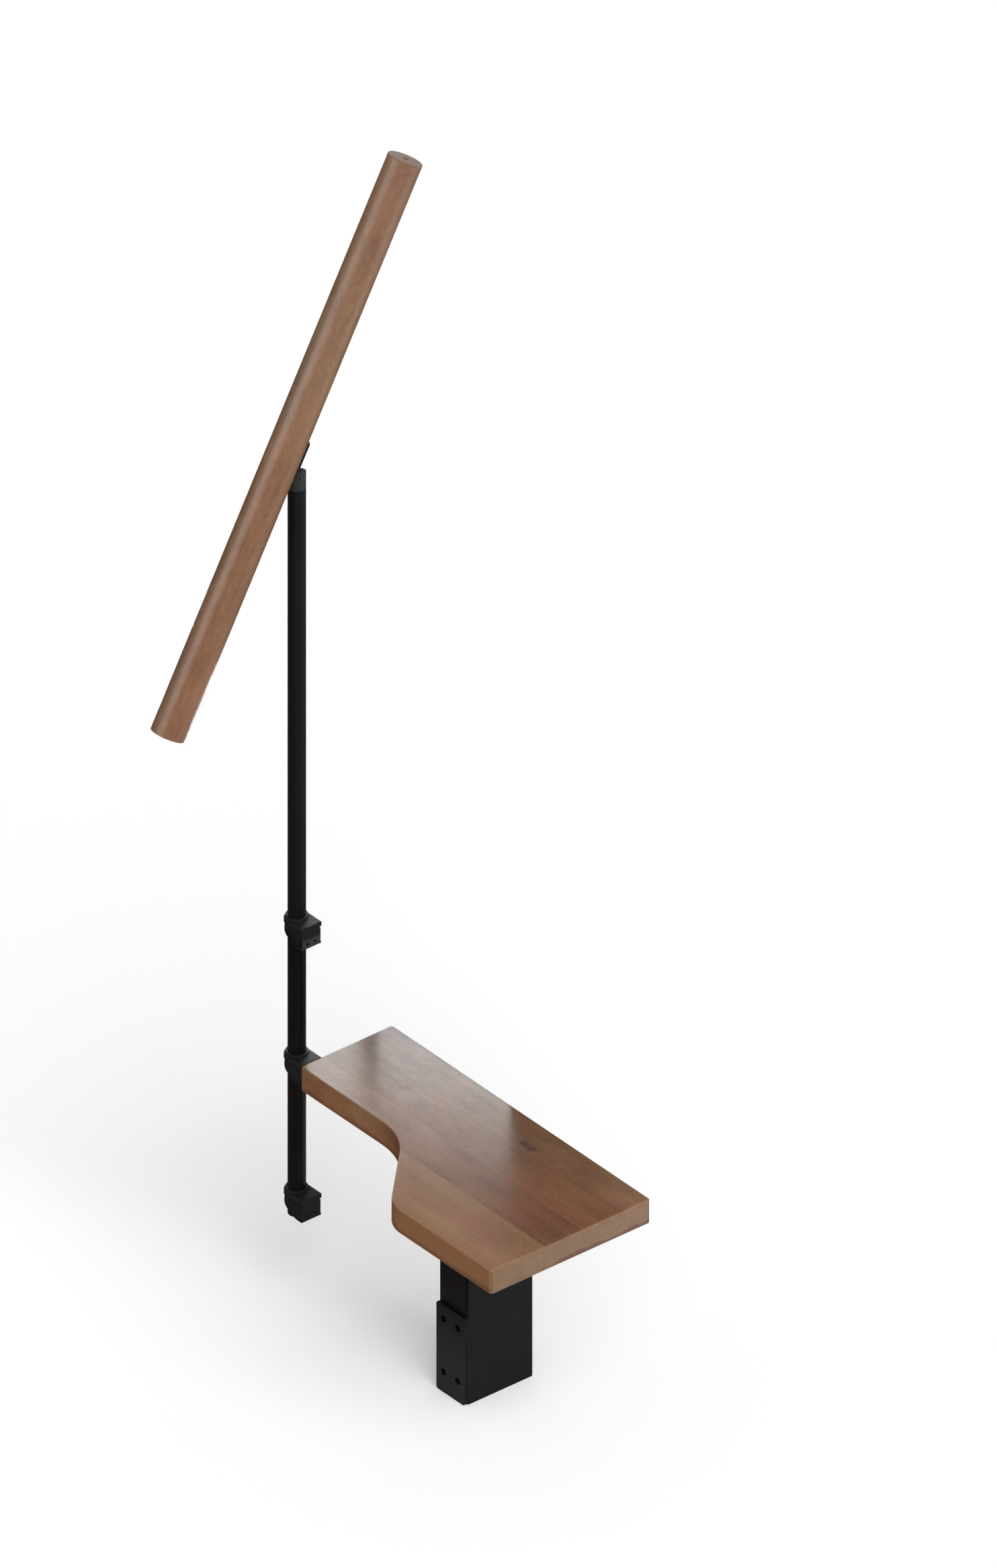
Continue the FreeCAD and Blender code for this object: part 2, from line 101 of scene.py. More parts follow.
# Lamellas of the tread: depth of each stave's front side from the rear edge, the butt joint's reach from
# the left end, the half-width over which it shades into the next piece, and the tones and redness of the
# pieces left and right of it
staves = [
    {"front": 0.057, "joint": 0.310, "ease": 0.050, "tones": (0.51, 0.55), "reds": (0.0, 0.1)},
    {"front": 0.119, "joint": 0.370, "ease": 0.070, "tones": (0.59, 0.61), "reds": (0.0, 0.9)},
    {"front": 0.183, "joint": 0.290, "ease": 0.050, "tones": (0.68, 0.48), "reds": (0.0, 0.8)},
    {"front": 0.245, "joint": 0.268, "ease": 0.002, "tones": (0.86, 0.88), "reds": (0.0, 0.0)},
    {"front": 0.290, "joint": 0.60, "ease": 0.001, "tones": (1.00, 1.00), "reds": (0.0, 0.0)},
]
red_tint = (1.03, 0.89, 0.84)
glue_line = 0.0004
glue_share = 0.12
glue_colour = (0.03, 0.014, 0.008)

# Shift of the grain from one stave to the next: its first value, its step, and its size in three directions
stave_shift_start = 0.11
stave_shift_step = 0.37
stave_shift_sizes = (3.0, 1.0, 0.7)

# Dark flecks of the tread's top and sides
fleck_range = (0.68, 0.80)
fleck_share = 0.05
fleck_colour = (0.050, 0.018, 0.007)

# Patches of the tread: the places, each as reach, depth and its half-sizes along and across the grain; the
# share of the half-sizes where the ragged edge starts; and the tint
patch_kinds = {
    "soft stains": {
        "places": [(0.389, 0.149, 0.055, 0.022), (0.300, 0.128, 0.035, 0.012)],
        "core": 0.0,
        "tint": (0.88, 0.76, 0.85),
    },
    # Painted highlights: pale, bluish patches where the lacquer catches the light
    "painted highlights": {
        "places": [
            (0.144, 0.096, 0.022, 0.018),
            (0.142, 0.160, 0.045, 0.016),
            (0.480, 0.252, 0.140, 0.026),
        ],
        "core": 0.3,
        "tint": (1.10, 1.20, 1.32),
    },
    # Painted reflection: a pale, bluish veil over the top's rear right corner
    "painted reflection at rear corner": {
        "places": [(0.560, 0.005, 0.120, 0.062)],
        "core": 0.2,
        "tint": (1.40, 1.66, 1.98),
    },
    "eyes of the knot": {
        "places": [(0.337, 0.0460, 0.0125, 0.0085), (0.350, 0.0465, 0.0090, 0.0065)],
        "core": 0.5,
        "tint": (0.58, 0.52, 0.62),
    },
}
patch_edge = 1.15
patch_wander = 0.9

# Painted highlight: the tread's top grows paler over the last stretch before its right end
painted_end_highlight = (0.0045, 0.0015)
painted_end_highlight_tint = (1.22, 1.28, 1.30)

# Sides of the tread: their tint, which is painted shade, painted light on the narrow part by its places on
# X, and the redder hollow in front
side_shade_tint = (0.80, 0.79, 0.77)
narrow_light_places = (-0.08, -0.16)
narrow_light_tint = (1.18, 1.18, 1.22)
hollow_tint = (0.95, 0.78, 0.70)

# End faces of the tread: darkest and palest colour, and painted light, a paler tint that fades between two
# depths
end_colours = ((0.150, 0.086, 0.050), (0.196, 0.118, 0.072))
end_light_depths = (0.02, 0.22)
end_painted_light_tint = (1.09, 1.14, 1.17)

# Darker heartwood along the foot of the tread's sides: height, wander of its edge, tint, and its share on
# the sides and, between two depths, on the end faces
heartwood_height = 0.0085
heartwood_wander = 0.003
heartwood_tint = (0.66, 0.56, 0.62)
heartwood_side_share = 0.75
heartwood_end_depths = (0.15, 0.19)
heartwood_end_shares = (0.95, 0.10)

# Painted highlight on the arrises of the end faces, and a painted ochre highlight and painted dark shade
# line down the rounded upright corners that face front and right
arris_highlight_tint = (1.10, 1.10, 1.08)
corner_highlight_colour = (0.240, 0.130, 0.035)
corner_highlight_share = 0.5
corner_shade_colour = (0.055, 0.026, 0.014)
corner_shade_share = 0.6

# Colours of the steel, the castings, the mouldings and the screws
black_steel = (0.0050, 0.0048, 0.0047)
black_cast = (0.0200, 0.0225, 0.0215)
black_plastic = (0.010, 0.011, 0.0105)
dark_screw = (0.05, 0.05, 0.05)
zinc_screw = (0.62, 0.62, 0.60)

# Fillet weld under the flange: leg, hollow of its face, depth of its root in the steel and its flats
weld_leg = 0.0040
fillet_hollow = 0.22
root_depth = 0.0005
fillet_flats = 6

# Groove welds beside the coupling plate: half-sizes, inset from the plate's edge, offset behind its rear
# face, gap at the plate's ends and sides of the section
groove_half_width = 0.0021
groove_half_height = 0.0013
groove_inset = 0.0007
groove_offset = 0.0015
groove_end_gap = 0.004
groove_sides = 12

# All beads: pitch and share of the ripples, spacing of the sections and how blunt the ends are
ripple_pitch = 0.0024
ripple_share = 0.06
weld_step = 0.0006
blunt_end = 0.1

# Surroundings: white up to the wall's top edge and dim above it, by the sine of the elevation
wall_white = 1.0
ceiling_grey = 0.32
wall_top = 0.30
wall_fade = 0.22

# Floor: its grey, a glow that only the camera and reflections see, half-size and gap under the column
floor_grey = 0.92
floor_glow = 0.16
floor_half_size = 30.0
floor_gap = 0.0005

# Key lamp: direction towards it, what it adds to a white surface that faces it, and its angle in degrees
key_direction = (0.74, -0.22, 0.62)
key_brightness = 0.82
key_angle = 50.0

# Boxes that give the rail its two sheens: a warm one in front and a low one at the right
front_box = {
    "centre": (-0.95, -3.0, 2.1),
    "aim": (-0.30, 0.0, 1.25),
    "width": 2.6,
    "height": 1.2,
    "radiance": 12.0,
    "colour": (1.0, 0.86, 0.79),
}
low_right_box = {
    "centre": (2.1, 1.3, column_low.z),
    "aim": (-0.30, 0.0, 1.35),
    "width": 1.2,
    "height": 1.2,
    "radiance": 6.0,
}

# Two rear boxes, which stand just behind the tread's rear edge with a gap between them, and the fade of the
# right one
rear_box_y = tread_high.y + 0.007
rear_box_foot = tread_high.z + 0.002
rear_box_top = 0.76
rear_left_box = (-1.10, -0.344)
rear_right_box = (-0.312, -0.032)
rear_radiance = 8.6
rear_fade_slope = 2.6
rear_fade_start = 0.735
rear_fade_end = 1.22
rear_fade_rest = 0.13

# Black flag over the tread's left end, a thin net beside it, and brown cards on the floor and sloping at
# the left, each as x range, y range and the heights of its left and right edges
flag_heights = (0.53, 0.53)
flag_place = ((-0.36, 0.02), (-0.055, 0.125), flag_heights)
net_place = ((0.02, 0.30), (-0.055, 0.125), flag_heights)
net_density = 0.45
flag_colour = (0.02, 0.02, 0.02)
card_height = column_low.z + 0.001
card_places = [
    ((-9.0, 0.5), (-2.5, -0.10), (card_height, card_height)),
    ((-9.0, -0.25), (-0.10, 0.60), (card_height, card_height)),
    ((-9.0, 0.30), (0.60, 3.40), (card_height, card_height)),
    ((-4.6, -3.2), (-1.50, 1.50), (2.6, card_height)),
]
card_colour = (0.20, 0.13, 0.09)


def backward():
    """Unit vector from the object to the camera."""
    flat = math.cos(view_elevation)
    return Vector((math.sin(view_azimuth) * flat, -math.cos(view_azimuth) * flat, math.sin(view_elevation)))


def make_camera():
    """Parallel camera at the photograph's angle and framing."""
    right = Vector((math.cos(view_azimuth), math.sin(view_azimuth), 0))
    up = backward().cross(right)
    anchor = Vector((tread_low.x, tread_high.y, tread_high.z))
    across = (photo_width / 2 - anchor_pixel[0]) * metres_per_pixel
    rise = (anchor_pixel[1] - photo_height / 2) * metres_per_pixel
    target = anchor + right * across + up * rise
    data = bpy.data.cameras.new("camera")
    data.type = "ORTHO"
    data.ortho_scale = photo_height * metres_per_pixel
    data.clip_end = 10 * camera_distance
    camera = bpy.data.objects.new("camera", data)
    camera.location = target + backward() * camera_distance
    camera.rotation_mode = "QUATERNION"
    camera.rotation_quaternion = (-backward()).to_track_quat("-Z", "Y")
    bpy.context.scene.collection.objects.link(camera)
    bpy.context.scene.camera = camera


def scaled(colour, factor):
    """Colour made darker or paler by a factor."""
    return [factor * channel for channel in colour]


class Graph:
    """A node tree with short calls for the nodes that are used often."""

    def __init__(self, tree):
        self.tree = tree

    def link(self, source, target):
        self.tree.links.new(source, target)

    def feed(self, socket, value):
        """Links a socket to another, or sets it to a value."""
        if isinstance(value, bpy.types.NodeSocket):
            self.link(value, socket)
        else:
            socket.default_value = value

    def math(self, operation, a, b=0.0, clamp=False):
        node = self.tree.nodes.new("ShaderNodeMath")
        node.operation = operation
        node.use_clamp = clamp
        self.feed(node.inputs[0], a)
        self.feed(node.inputs[1], b)
        return node.outputs[0]

    def times(self, a, b):
        return self.math("MULTIPLY", a, b)

    def dot(self, vector, direction):
        node = self.tree.nodes.new("ShaderNodeVectorMath")
        node.operation = "DOT_PRODUCT"
        self.feed(node.inputs[0], vector)
        node.inputs[1].default_value = tuple(direction)
        return node.outputs["Value"]

    def vector(self, x, y, z):
        node = self.tree.nodes.new("ShaderNodeCombineXYZ")
        for socket, value in zip(node.inputs, (x, y, z)):
            self.feed(socket, value)
        return node.outputs[0]

    def combine(self, operation, a, b):
        node = self.tree.nodes.new("ShaderNodeVectorMath")
        node.operation = operation
        self.feed(node.inputs[0], a)
        self.feed(node.inputs[1], b)
        return node.outputs["Vector"]

    def coordinates(self, kind):
        return self.tree.nodes.new("ShaderNodeTexCoord").outputs[kind]

    def separate(self, vector):
        node = self.tree.nodes.new("ShaderNodeSeparateXYZ")
        self.link(vector, node.inputs[0])
        return node.outputs

    def noise(self, vector, scale=1.0, detail=2.0, roughness=0.5):
        node = self.tree.nodes.new("ShaderNodeTexNoise")
        self.link(vector, node.inputs["Vector"])
        node.inputs["Scale"].default_value = scale
        node.inputs["Detail"].default_value = detail
        node.inputs["Roughness"].default_value = roughness
        return node.outputs["Fac"]

    def smooth(self, value, low, high):
        """0 below low, 1 above high and an eased step between them."""
        node = self.tree.nodes.new("ShaderNodeMapRange")
        node.interpolation_type = "SMOOTHSTEP"
        self.feed(node.inputs["Value"], value)
        self.feed(node.inputs["From Min"], low)
        self.feed(node.inputs["From Max"], high)
        return node.outputs["Result"]

    def band(self, value, rise, fall):
        """1 between an eased rise and an eased fall, and 0 outside them."""
        return self.times(self.smooth(value, *rise), self.smooth(value, *fall))

    def spread(self, value, low, high, to_low, to_high):
        """Linear change of range, clamped."""
        node = self.tree.nodes.new("ShaderNodeMapRange")
        self.feed(node.inputs["Value"], value)
        for name, number in zip(("From Min", "From Max", "To Min", "To Max"), (low, high, to_low, to_high)):
            self.feed(node.inputs[name], number)
        return node.outputs["Result"]

    def swing(self, noise, low, high):
        """Noise brought to the range from low to high."""
        return self.spread(noise, *usual_noise, low, high)

    def choose(self, factor, a, b):
        """Number a where factor is 0 and b where it is 1."""
        node = self.tree.nodes.new("ShaderNodeMix")
        node.data_type = "FLOAT"
        self.feed(node.inputs[0], factor)
        self.feed(node.inputs[2], a)
        self.feed(node.inputs[3], b)
        return node.outputs[0]

    def colour(self, factor, a, b, blend="MIX"):
        """Colour a where factor is 0 and b, or a blended with b, where it is 1."""
        node = self.tree.nodes.new("ShaderNodeMix")
        node.data_type = "RGBA"
        node.blend_type = blend
        self.feed(node.inputs[0], factor)
        self.feed(node.inputs[6], a if isinstance(a, bpy.types.NodeSocket) else (*a, 1))
        self.feed(node.inputs[7], b if isinstance(b, bpy.types.NodeSocket) else (*b, 1))
        return node.outputs[2]

    def tint(self, mask, base, tint):
        """Colour that is multiplied by a tint where the mask is 1."""
        return self.colour(mask, base, self.colour(1.0, base, tint, "MULTIPLY"))

    def bump(self, height, distance, strength):
        node = self.tree.nodes.new("ShaderNodeBump")
        node.inputs["Strength"].default_value = strength
        node.inputs["Distance"].default_value = distance
        self.link(height, node.inputs["Height"])
        return node.outputs["Normal"]


class Surface(Graph):
    """The node tree of a new material."""

    def __init__(self, name):
        self.material = bpy.data.materials.new(name)
        self.material.use_nodes = True
        super().__init__(self.material.node_tree)
        self.tree.nodes.clear()
        self.output = self.tree.nodes.new("ShaderNodeOutputMaterial")

    def finish(self, shader):
        self.link(shader, self.output.inputs["Surface"])
        return self.material

    def principled(self, **settings):
        """Finished material of one principled shader."""
        node = self.tree.nodes.new("ShaderNodeBsdfPrincipled")
        for name, value in settings.items():
            self.feed(node.inputs[name.replace("_", " ")], value)
        return self.finish(node.outputs["BSDF"])

    def diffuse(self, colour):
        node = self.tree.nodes.new("ShaderNodeBsdfDiffuse")
        node.inputs["Color"].default_value = (*colour, 1)
        return node.outputs["BSDF"]


def lamella_values(graph, point):
    """Tone, redness, shift of the grain and glue-line nearness of the tread's lamellas at a point."""
    x, y, _ = graph.separate(point)
    reach = graph.math("SUBTRACT", x, tread_low.x)
    depth = graph.math("SUBTRACT", tread_high.y, y)
    values = None
    for number, stave in enumerate(staves):
        eased = graph.smooth(reach, stave["joint"] - stave["ease"], stave["joint"] + stave["ease"])
        here = [
            graph.choose(eased, *stave["tones"]),
            graph.choose(eased, *stave["reds"]),
            stave_shift_step * number + stave_shift_start,
        ]
        if values is None:
            values = here
            continue
        inside = graph.math("GREATER_THAN", depth, staves[number - 1]["front"])
        values = [graph.choose(inside, before, now) for before, now in zip(values, here)]
    line = 1.0
    for stave in staves[:-1]:
        side_gap = graph.math("ABSOLUTE", graph.math("SUBTRACT", depth, stave["front"]))
        line = graph.math("MINIMUM", line, side_gap)
    nearness = graph.math("SUBTRACT", 1.0, graph.smooth(line, 0.0, glue_line))
    return (*values, nearness)


def patches(graph, x, y, wander, places, core):
    """1 inside the patches at the given places and 0 outside, with a ragged edge from the core outwards."""
    mask = None
    for reach, depth, half_along, half_across in places:
        run = graph.math("DIVIDE", graph.math("SUBTRACT", x, tread_low.x + reach), half_along)
        side = graph.math("DIVIDE", graph.math("SUBTRACT", y, tread_high.y - depth), half_across)
        squares = graph.math("ADD", graph.math("POWER", run, 2.0), graph.math("POWER", side, 2.0))
        away = graph.math("ADD", graph.math("SQRT", squares), wander)
        patch = graph.math("SUBTRACT", 1.0, graph.smooth(away, core, patch_edge))
        mask = patch if mask is None else graph.math("MAXIMUM", mask, patch)
    return mask


def wood_pattern(graph, grain, name):
    """One of the wood's patterns, drawn out along the grain."""
    along, across, detail, roughness = wood_patterns[name]
    stretched = graph.combine("MULTIPLY", grain, (along, across, across))
    return graph.noise(stretched, detail=detail, roughness=roughness)


def wood(name, grain_directions, tread):
    """Stained and lacquered beech, with its grain along the first of three directions."""
    graph = Surface(name)
    point = graph.coordinates("Object")
    grain = graph.vector(*[graph.dot(point, direction) for direction in grain_directions])
    if tread:
        tone, redness, shift, line = lamella_values(graph, point)
        shifts = graph.vector(*[graph.times(shift, size) for size in stave_shift_sizes])
        grain = graph.combine("ADD", grain, shifts)
    else:
        tone = rail_tone
    noises = {pattern: wood_pattern(graph, grain, pattern) for pattern in tone_swings}
    for pattern, amount in tone_swings.items():
        tone = graph.math("ADD", graph.swing(noises[pattern], -amount, amount), tone)
    base = graph.colour(tone, dark_wood, pale_wood)
    hue = graph.smooth(wood_pattern(graph, grain, "drift"), *drift_range)
    if tread:
        base = graph.tint(hue, base, drift_tint)
        base = graph.tint(redness, base, red_tint)
        base = tread_figure(graph, base, wood_pattern(graph, grain, "flecks"), noises, line, point)
    else:
        base = graph.tint(graph.spread(hue, 0.0, 1.0, *rail_drift), base, drift_tint)
        base = graph.colour(1.0, base, rail_tint, "MULTIPLY")
        # Painted sheen: the rail grows paler and bluer upwards
        base = graph.tint(graph.smooth(graph.separate(point)[2], *rail_sheen_heights), base, rail_sheen_tint)
    return graph.principled(
        Base_Color=base,
        Roughness=tread_roughness if tread else rail_roughness,
        Normal=graph.bump(noises["fibres"], grain_depth, 0.4),
        Specular_IOR_Level=lacquer_specular,
    )


def tread_figure(graph, base, flecks, noises, line, point):
    """Flecks, patches (among them painted highlights and a painted reflection), glue lines, a painted
    highlight along the right end and side colours of the tread.
    """
    x, y, z = graph.separate(point)
    base = graph.colour(graph.times(graph.smooth(flecks, *fleck_range), fleck_share), base, fleck_colour)
    wander = graph.times(graph.math("SUBTRACT", noises["curl"], 0.5), patch_wander)
    # Some patch kinds are painted highlights and a painted reflection
    for kind in patch_kinds.values():
        mask = patches(graph, x, y, wander, kind["places"], kind["core"])
        base = graph.tint(mask, base, kind["tint"])
    # Painted highlight along the top's right end
    painted_end_highlight_mask = graph.smooth(x, *[tread_high.x - gap for gap in painted_end_highlight])
    base = graph.tint(painted_end_highlight_mask, base, painted_end_highlight_tint)
    base = graph.colour(graph.times(line, glue_share), base, glue_colour)
    return side_colours(graph, base, noises, (x, y, z))


def side_colours(graph, base, noises, place):
    """Pale end faces with painted light towards their rear, sides darkened by painted shade and lifted by
    painted light on the narrow part, a dark foot, painted highlights on the arrises, and a painted
    highlight and painted shade line down the tread's upright corners.
    """
    x, y, z = place
    depth = graph.math("SUBTRACT", tread_high.y, y)
    facing = graph.separate(graph.coordinates("Normal"))
    upward = graph.math("ABSOLUTE", facing[2])
    endward = graph.smooth(graph.math("ABSOLUTE", facing[0]), 0.40, 0.80)
    sideward = graph.math("SUBTRACT", graph.smooth(upward, 0.7, 0.4), endward, clamp=True)

    # Painted shade darkens the sides, and painted light lifts them again on the narrow part
    shaded_side = graph.colour(1.0, base, side_shade_tint, "MULTIPLY")
    shaded_side = graph.tint(graph.smooth(x, *narrow_light_places), shaded_side, narrow_light_tint)
    base = graph.colour(sideward, base, shaded_side)
    hollow = graph.times(sideward, graph.smooth(facing[0], -0.05, -0.5))
    base = graph.tint(hollow, base, hollow_tint)

    end_tone = graph.math(
        "ADD",
        graph.swing(noises["clouds"], 0.0, 0.6),
        graph.swing(noises["streaks"], 0.0, 0.4),
    )
    end_face = graph.colour(end_tone, *end_colours)
    # Painted light towards the rear of the end faces
    end_face = graph.tint(graph.spread(depth, *end_light_depths, 1.0, 0.0), end_face, end_painted_light_tint)
    base = graph.colour(endward, base, end_face)

    lift = graph.math("SUBTRACT", z, tread_low.z)
    lift = graph.math("ADD", lift, graph.swing(noises["clouds"], -heartwood_wander, heartwood_wander))
    foot = graph.smooth(lift, heartwood_height, 0.6 * heartwood_height)
    end_share = graph.spread(depth, *heartwood_end_depths, *heartwood_end_shares)
    foot = graph.times(foot, graph.choose(endward, heartwood_side_share, end_share))
    foot = graph.times(foot, graph.smooth(upward, 0.9, 0.5))
    base = graph.tint(foot, base, heartwood_tint)

    # Painted highlight on the end faces' rounded arrises
    arris = graph.times(endward, graph.smooth(upward, 0.2, 0.5))
    base = graph.tint(arris, base, arris_highlight_tint)
    # Painted highlight and painted shade line down the rounded upright corners
    frontward = graph.smooth(facing[1], 0.0, -0.2)
    turn = graph.times(facing[0], graph.times(graph.smooth(upward, 0.5, 0.1), frontward))
    corner_highlight = graph.band(turn, (0.30, 0.45), (0.70, 0.60))
    base = graph.colour(graph.times(corner_highlight, corner_highlight_share), base, corner_highlight_colour)
    corner_shade = graph.band(turn, (0.60, 0.72), (0.90, 0.80))
    return graph.colour(graph.times(corner_shade, corner_shade_share), base, corner_shade_colour)


def coated_steel(name, colour):
    """Satin powder coat: a near-black film with a fine orange-peel surface."""
    graph = Surface(name)
    point = graph.coordinates("Object")
    peel = graph.noise(point, scale=900.0)
    drift = graph.noise(point, scale=14.0, detail=3.0)
    return graph.principled(
        Base_Color=graph.colour(graph.swing(drift, 0.0, 1.0), scaled(colour, 0.85), scaled(colour, 1.15)),
        Roughness=graph.swing(drift, 0.28, 0.34),
        Specular_IOR_Level=0.07,
        Normal=graph.bump(peel, 0.00004, 0.5),
    )


def moulded_plastic(name, colour):
    """Black moulding with a fine spark-eroded grain."""
    graph = Surface(name)
    point = graph.coordinates("Object")
    grain = graph.noise(point, scale=2200.0, detail=1.0)
    drift = graph.noise(point, scale=30.0)
    return graph.principled(
        Base_Color=graph.colour(graph.swing(drift, 0.0, 1.0), scaled(colour, 0.9), scaled(colour, 1.1)),
        Roughness=graph.swing(grain, 0.46, 0.60),
        Specular_IOR_Level=0.06,
        Normal=graph.bump(grain, 0.00005, 0.5),
    )


def screw_metal(name, colour, roughness):
    """Plated or blackened steel with faint turning marks."""
    graph = Surface(name)
    marks = graph.noise(graph.coordinates("Object"), scale=700.0, detail=3.0)
    return graph.principled(
        Base_Color=graph.colour(marks, scaled(colour, 0.8), scaled(colour, 1.15)),
        Metallic=1.0,
        Roughness=graph.swing(marks, roughness - 0.06, roughness + 0.08),
        Normal=graph.bump(marks, 0.00003, 0.4),
    )


def make_materials():
    """One material for each material slot of the record."""
    sideways = Vector((1, 0, 0))
    tread_grain = (sideways, (0, 1, 0), (0, 0, 1))
    rail_grain = (rail_axis, sideways, rail_axis.cross(sideways))
    return {
        "tread_wood": wood("tread_wood", tread_grain, True),
        "rail_wood": wood("rail_wood", rail_grain, False),
        "black_steel": coated_steel("black_steel", black_steel),
        "black_cast": coated_steel("black_cast", black_cast),
        "black_plastic": moulded_plastic("black_plastic", black_plastic),
        "dark_screw": screw_metal("dark_screw", dark_screw, 0.40),
        "zinc_screw": screw_metal("zinc_screw", zinc_screw, 0.32),
    }


def dress(materials):
    """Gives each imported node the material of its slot."""
    for name, node in nodes.items():
        node.data.materials.clear()
        node.data.materials.append(materials[slot_of[name]])


def add_object(name, mesh, material):
    """New object of one material from a bmesh, which is freed."""
    data = bpy.data.meshes.new(name)
    mesh.to_mesh(data)
    mesh.free()
    data.materials.append(material)
    made = bpy.data.objects.new(name, data)
    bpy.context.scene.collection.objects.link(made)
    return made


def bead(mesh, stations, section):
    """Rippled weld bead with blunt ends: a section of offsets along the two directions of each station."""
    length = sum((after[0] - before[0]).length for before, after in zip(stations, stations[1:]))
    run = 0.0
    rings = []
    for number, (point, side, face) in enumerate(stations):
        if number:
            run += (point - stations[number - 1][0]).length
        from_end = min(run, length - run) / weld_leg
        size = 1 + ripple_share * math.sin(2 * math.pi * run / ripple_pitch)
        size *= math.sqrt(min(1.0, blunt_end + from_end))
        rings.append([mesh.verts.new(point + (side * out + face * down) * size) for out, down in section])
    for before, after in zip(rings, rings[1:]):
        for corner in range(len(section)):
            following = (corner + 1) % len(section)
            mesh.faces.new([before[corner], before[following], after[following], after[corner]])
    mesh.faces.new(rings[0])
    mesh.faces.new(rings[-1])


def straight(start, end, side, face):
    """Stations along a straight line, without its last point."""
    count = max(1, round((end - start).length / weld_step))
    return [(start.lerp(end, number / count), side, face) for number in range(count)]


def around(centre, start, end, face):
    """Stations round a corner of the column from one direction to another, without the last point."""
    count = round(0.5 * math.pi * column_corner_radius / weld_step)
    outs = [start.slerp(end, number / count) for number in range(count)]
    return [(centre + out * column_corner_radius, out, face) for out in outs]


def flange_weld(mesh):
    """Fillet under the flange along the column's left side, front and right side."""
    down = Vector((0, 0, -1))
    left = Vector((-1, 0, 0))
    front = Vector((0, -1, 0))
    right = Vector((1, 0, 0))
    radius = column_corner_radius
    top = column_high.z
    rear = column_high.y - radius
    inner_left = Vector((column_low.x + radius, column_low.y + radius, top))
    inner_right = Vector((column_high.x - radius, column_low.y + radius, top))
    stations = straight(Vector((column_low.x, rear, top)), inner_left + left * radius, left, down)
    stations += around(inner_left, left, front, down)
    stations += straight(inner_left + front * radius, inner_right + front * radius, front, down)
    stations += around(inner_right, front, right, down)
    stations += straight(inner_right + right * radius, Vector((column_high.x, rear, top)), right, down)
    section = [(-root_depth, -root_depth)]
    for number in range(fillet_flats + 1):
        angle = number / fillet_flats * math.pi / 2
        reach = weld_leg * (1 - fillet_hollow * math.sin(2 * angle))
        section.append((reach * math.cos(angle), reach * math.sin(angle)))
    bead(mesh, stations, section)


def groove_weld(mesh, side):
    """Weld between the coupling plate's edge and the column's rounded corner, on side -1 or 1."""
    x = side * (plate_high.x - groove_inset)
    y = plate_high.y + groove_offset
    foot = Vector((x, y, plate_low.z + groove_end_gap))
    head = Vector((x, y, plate_high.z - groove_end_gap))
    section = []
    for number in range(groove_sides):
        angle = number / groove_sides * 2 * math.pi
        section.append((groove_half_height * math.cos(angle), groove_half_width * math.sin(angle)))
    bead(mesh, straight(foot, head, Vector((side, 0, 0)), Vector((0, 1, 0))), section)


def make_welds(material):
    """Weld beads of the column, which ride on the module."""
    mesh = bmesh.new()
    flange_weld(mesh)
    groove_weld(mesh, -1)
    groove_weld(mesh, 1)
    bmesh.ops.recalc_face_normals(mesh, faces=mesh.faces)
    for facet in mesh.faces:
        facet.smooth = True
    welds = add_object("column_welds", mesh, material)
    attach(welds, "module")


def make_floor():
    """Wide pale floor just under the foot of the column."""
    graph = Surface("floor")
    glow = graph.tree.nodes.new("ShaderNodeEmission")
    rays = graph.tree.nodes.new("ShaderNodeLightPath")
    seen = graph.math("MAXIMUM", rays.outputs["Is Camera Ray"], rays.outputs["Is Glossy Ray"])
    seen = graph.math("MAXIMUM", seen, rays.outputs["Is Transmission Ray"])
    graph.link(graph.times(seen, floor_glow), glow.inputs["Strength"])
    both = graph.tree.nodes.new("ShaderNodeAddShader")
    graph.link(graph.diffuse(3 * [floor_grey]), both.inputs[0])
    graph.link(glow.outputs["Emission"], both.inputs[1])
    mesh = bmesh.new()
    bmesh.ops.create_grid(mesh, x_segments=1, y_segments=1, size=floor_half_size)
    floor = add_object("floor", mesh, graph.finish(both.outputs["Shader"]))
    floor.location = (0, 0, column_low.z - floor_gap)


def make_world():
    """Studio of white walls under a dim ceiling."""
    world = bpy.data.worlds.new("world")
    bpy.context.scene.world = world
    world.use_nodes = True
    graph = Graph(world.node_tree)
    background = graph.tree.nodes["Background"]
    background.inputs["Color"].default_value = (1, 1, 1, 1)
    height = graph.separate(graph.coordinates("Generated"))[2]
    dimming = graph.smooth(height, wall_top, wall_top + wall_fade)
    graph.link(graph.choose(dimming, wall_white, ceiling_grey), background.inputs["Strength"])


def add_lamp(name, data, direction):
    """New lamp that shines in a direction."""
    lamp = bpy.data.objects.new(name, data)
    lamp.rotation_mode = "QUATERNION"
    lamp.rotation_quaternion = Vector(direction).to_track_quat("-Z", "Y")
    bpy.context.scene.collection.objects.link(lamp)
    return lamp


def softbox(name, centre, aim, width, height, radiance, colour=(1, 1, 1)):
    """Rectangular lamp at centre that faces aim, which only glossy surfaces show."""
    data = bpy.data.lights.new(name, "AREA")
    data.shape = "RECTANGLE"
    data.size = width
    data.size_y = height
    data.energy = radiance * math.pi * width * height
    data.color = colour
    data.cycles.use_multiple_importance_sampling = False
    lamp = add_lamp(name, data, Vector(aim) - Vector(centre))
    lamp.location = centre
    lamp.visible_camera = False
    lamp.visible_diffuse = False
    return data


def make_sun(name, direction, brightness, angle):
    """Far lamp of wide angle, whose brightness is what it adds to a white surface that faces it."""
    data = bpy.data.lights.new(name, "SUN")
    data.energy = brightness * math.pi
    data.angle = math.radians(angle)
    add_lamp(name, data, -Vector(direction))


